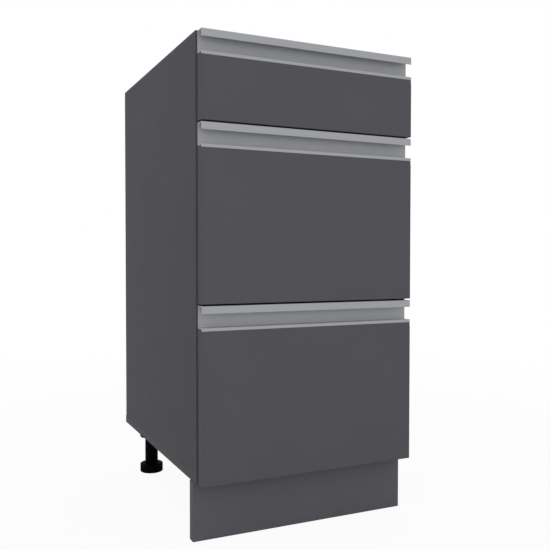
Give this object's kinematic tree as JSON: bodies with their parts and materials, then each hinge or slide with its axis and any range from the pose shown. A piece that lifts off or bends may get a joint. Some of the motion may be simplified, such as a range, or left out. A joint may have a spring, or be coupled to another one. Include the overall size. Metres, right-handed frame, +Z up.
{
  "type": "base cabinet with drawers",
  "caption": "Floor-standing kitchen base unit with stacked drawers on ball runners, channel handles along the front tops, levelling legs and a clip-on plinth.",
  "frame": {"origin": "on the floor, under the middle of the whole unit's box", "axes": "+Z up, -Y towards the drawer fronts, +X to the right seen from the front"},
  "size_m": [0.4, 0.4976, 0.82],
  "materials": {
    "graphite_laminate": "matt graphite melamine on chipboard",
    "graphite_front": "matt graphite laminate on chipboard",
    "anodised_aluminium": "satin anodised extrusion",
    "white_laminate": "light grey melamine on chipboard",
    "white_hardboard": "light painted hardboard",
    "hardboard": "graphite painted hardboard",
    "runner_steel": "bright zinc plated strip",
    "ball_steel": "plated cages and polished balls",
    "zinc_steel": "zinc plated fasteners",
    "beech": "plain beech",
    "black_plastic": "moulded black polypropylene"
  },
  "bodies": {
    "carcass": {"side_panel_left": "graphite_laminate", "side_panel_right": "graphite_laminate", "bottom_panel": "graphite_laminate", "top_rail_front": "graphite_laminate", "top_rail_rear": "graphite_laminate", "back_panel": "hardboard", "carcass_dowels": "beech", "carcass_screws": "zinc_steel", "cam_fittings": "zinc_steel", "back_panel_nails": "zinc_steel", "leg_sockets": "black_plastic", "leg_tubes": "black_plastic", "leg_socket_screws": "zinc_steel", "runner_cabinet_screws": "zinc_steel", "runner_cabinet_members_top": "runner_steel", "runner_cabinet_members_middle": "runner_steel", "runner_cabinet_members_bottom": "runner_steel"},
    "plinth": {"plinth_panel": "graphite_laminate", "plinth_clips": "black_plastic", "plinth_clip_screws": "zinc_steel"},
    "drawer_top": {"drawer_top_front": "graphite_front", "drawer_top_handle": "anodised_aluminium", "drawer_top_box_side_left": "white_laminate", "drawer_top_box_side_right": "white_laminate", "drawer_top_box_front": "white_laminate", "drawer_top_box_back": "white_laminate", "drawer_top_box_bottom": "white_hardboard", "drawer_top_screws": "zinc_steel", "runner_drawer_members_top": "runner_steel"},
    "middle_members_top": {"runner_middle_members_top": "runner_steel"},
    "outer_cages_top": {"ball_cages_outer_top": "ball_steel"},
    "inner_cages_top": {"ball_cages_inner_top": "ball_steel"},
    "drawer_middle": {"drawer_middle_front": "graphite_front", "drawer_middle_handle": "anodised_aluminium", "drawer_middle_box_side_left": "white_laminate", "drawer_middle_box_side_right": "white_laminate", "drawer_middle_box_front": "white_laminate", "drawer_middle_box_back": "white_laminate", "drawer_middle_box_bottom": "white_hardboard", "drawer_middle_screws": "zinc_steel", "runner_drawer_members_middle": "runner_steel"},
    "middle_members_middle": {"runner_middle_members_middle": "runner_steel"},
    "outer_cages_middle": {"ball_cages_outer_middle": "ball_steel"},
    "inner_cages_middle": {"ball_cages_inner_middle": "ball_steel"},
    "drawer_bottom": {"drawer_bottom_front": "graphite_front", "drawer_bottom_handle": "anodised_aluminium", "drawer_bottom_box_side_left": "white_laminate", "drawer_bottom_box_side_right": "white_laminate", "drawer_bottom_box_front": "white_laminate", "drawer_bottom_box_back": "white_laminate", "drawer_bottom_box_bottom": "white_hardboard", "drawer_bottom_screws": "zinc_steel", "runner_drawer_members_bottom": "runner_steel"},
    "middle_members_bottom": {"runner_middle_members_bottom": "runner_steel"},
    "outer_cages_bottom": {"ball_cages_outer_bottom": "ball_steel"},
    "inner_cages_bottom": {"ball_cages_inner_bottom": "ball_steel"},
    "foot_front_left": {"leg_foot_front_left": "black_plastic"},
    "foot_front_right": {"leg_foot_front_right": "black_plastic"},
    "foot_rear_left": {"leg_foot_rear_left": "black_plastic"},
    "foot_rear_right": {"leg_foot_rear_right": "black_plastic"}
  },
  "joints": [
    {"name": "drawer_top_slide", "type": "slide", "parent": "carcass", "child": "drawer_top", "axis": [0, -1, 0], "range_m": [0, 0.45]},
    {"name": "middle_members_top_slide", "type": "slide", "parent": "carcass", "child": "middle_members_top", "axis": [0, -1, 0], "range_m": [0, 0.225]},
    {"name": "outer_cages_top_slide", "type": "slide", "parent": "carcass", "child": "outer_cages_top", "axis": [0, -1, 0], "range_m": [0, 0.1125]},
    {"name": "inner_cages_top_slide", "type": "slide", "parent": "carcass", "child": "inner_cages_top", "axis": [0, -1, 0], "range_m": [0, 0.3375]},
    {"name": "drawer_middle_slide", "type": "slide", "parent": "carcass", "child": "drawer_middle", "axis": [0, -1, 0], "range_m": [0, 0.45]},
    {"name": "middle_members_middle_slide", "type": "slide", "parent": "carcass", "child": "middle_members_middle", "axis": [0, -1, 0], "range_m": [0, 0.225]},
    {"name": "outer_cages_middle_slide", "type": "slide", "parent": "carcass", "child": "outer_cages_middle", "axis": [0, -1, 0], "range_m": [0, 0.1125]},
    {"name": "inner_cages_middle_slide", "type": "slide", "parent": "carcass", "child": "inner_cages_middle", "axis": [0, -1, 0], "range_m": [0, 0.3375]},
    {"name": "drawer_bottom_slide", "type": "slide", "parent": "carcass", "child": "drawer_bottom", "axis": [0, -1, 0], "range_m": [0, 0.45]},
    {"name": "middle_members_bottom_slide", "type": "slide", "parent": "carcass", "child": "middle_members_bottom", "axis": [0, -1, 0], "range_m": [0, 0.225]},
    {"name": "outer_cages_bottom_slide", "type": "slide", "parent": "carcass", "child": "outer_cages_bottom", "axis": [0, -1, 0], "range_m": [0, 0.1125]},
    {"name": "inner_cages_bottom_slide", "type": "slide", "parent": "carcass", "child": "inner_cages_bottom", "axis": [0, -1, 0], "range_m": [0, 0.3375]},
    {"name": "foot_front_left_screw", "type": "slide", "parent": "carcass", "child": "foot_front_left", "axis": [0, 0, -1], "range_m": [0, 0.025]},
    {"name": "foot_front_right_screw", "type": "slide", "parent": "carcass", "child": "foot_front_right", "axis": [0, 0, -1], "range_m": [0, 0.025]},
    {"name": "foot_rear_left_screw", "type": "slide", "parent": "carcass", "child": "foot_rear_left", "axis": [0, 0, -1], "range_m": [0, 0.025]},
    {"name": "foot_rear_right_screw", "type": "slide", "parent": "carcass", "child": "foot_rear_right", "axis": [0, 0, -1], "range_m": [0, 0.025]},
    {"name": "plinth_pull", "type": "slide", "parent": "carcass", "child": "plinth", "axis": [0, -1, 0], "range_m": [0, 0.06]}
  ],
  "couplings": [
    {"joint": "middle_members_top_slide", "follows": "drawer_top_slide", "ratio": 0.5},
    {"joint": "outer_cages_top_slide", "follows": "drawer_top_slide", "ratio": 0.25},
    {"joint": "inner_cages_top_slide", "follows": "drawer_top_slide", "ratio": 0.75},
    {"joint": "middle_members_middle_slide", "follows": "drawer_middle_slide", "ratio": 0.5},
    {"joint": "outer_cages_middle_slide", "follows": "drawer_middle_slide", "ratio": 0.25},
    {"joint": "inner_cages_middle_slide", "follows": "drawer_middle_slide", "ratio": 0.75},
    {"joint": "middle_members_bottom_slide", "follows": "drawer_bottom_slide", "ratio": 0.5},
    {"joint": "outer_cages_bottom_slide", "follows": "drawer_bottom_slide", "ratio": 0.25},
    {"joint": "inner_cages_bottom_slide", "follows": "drawer_bottom_slide", "ratio": 0.75}
  ]
}
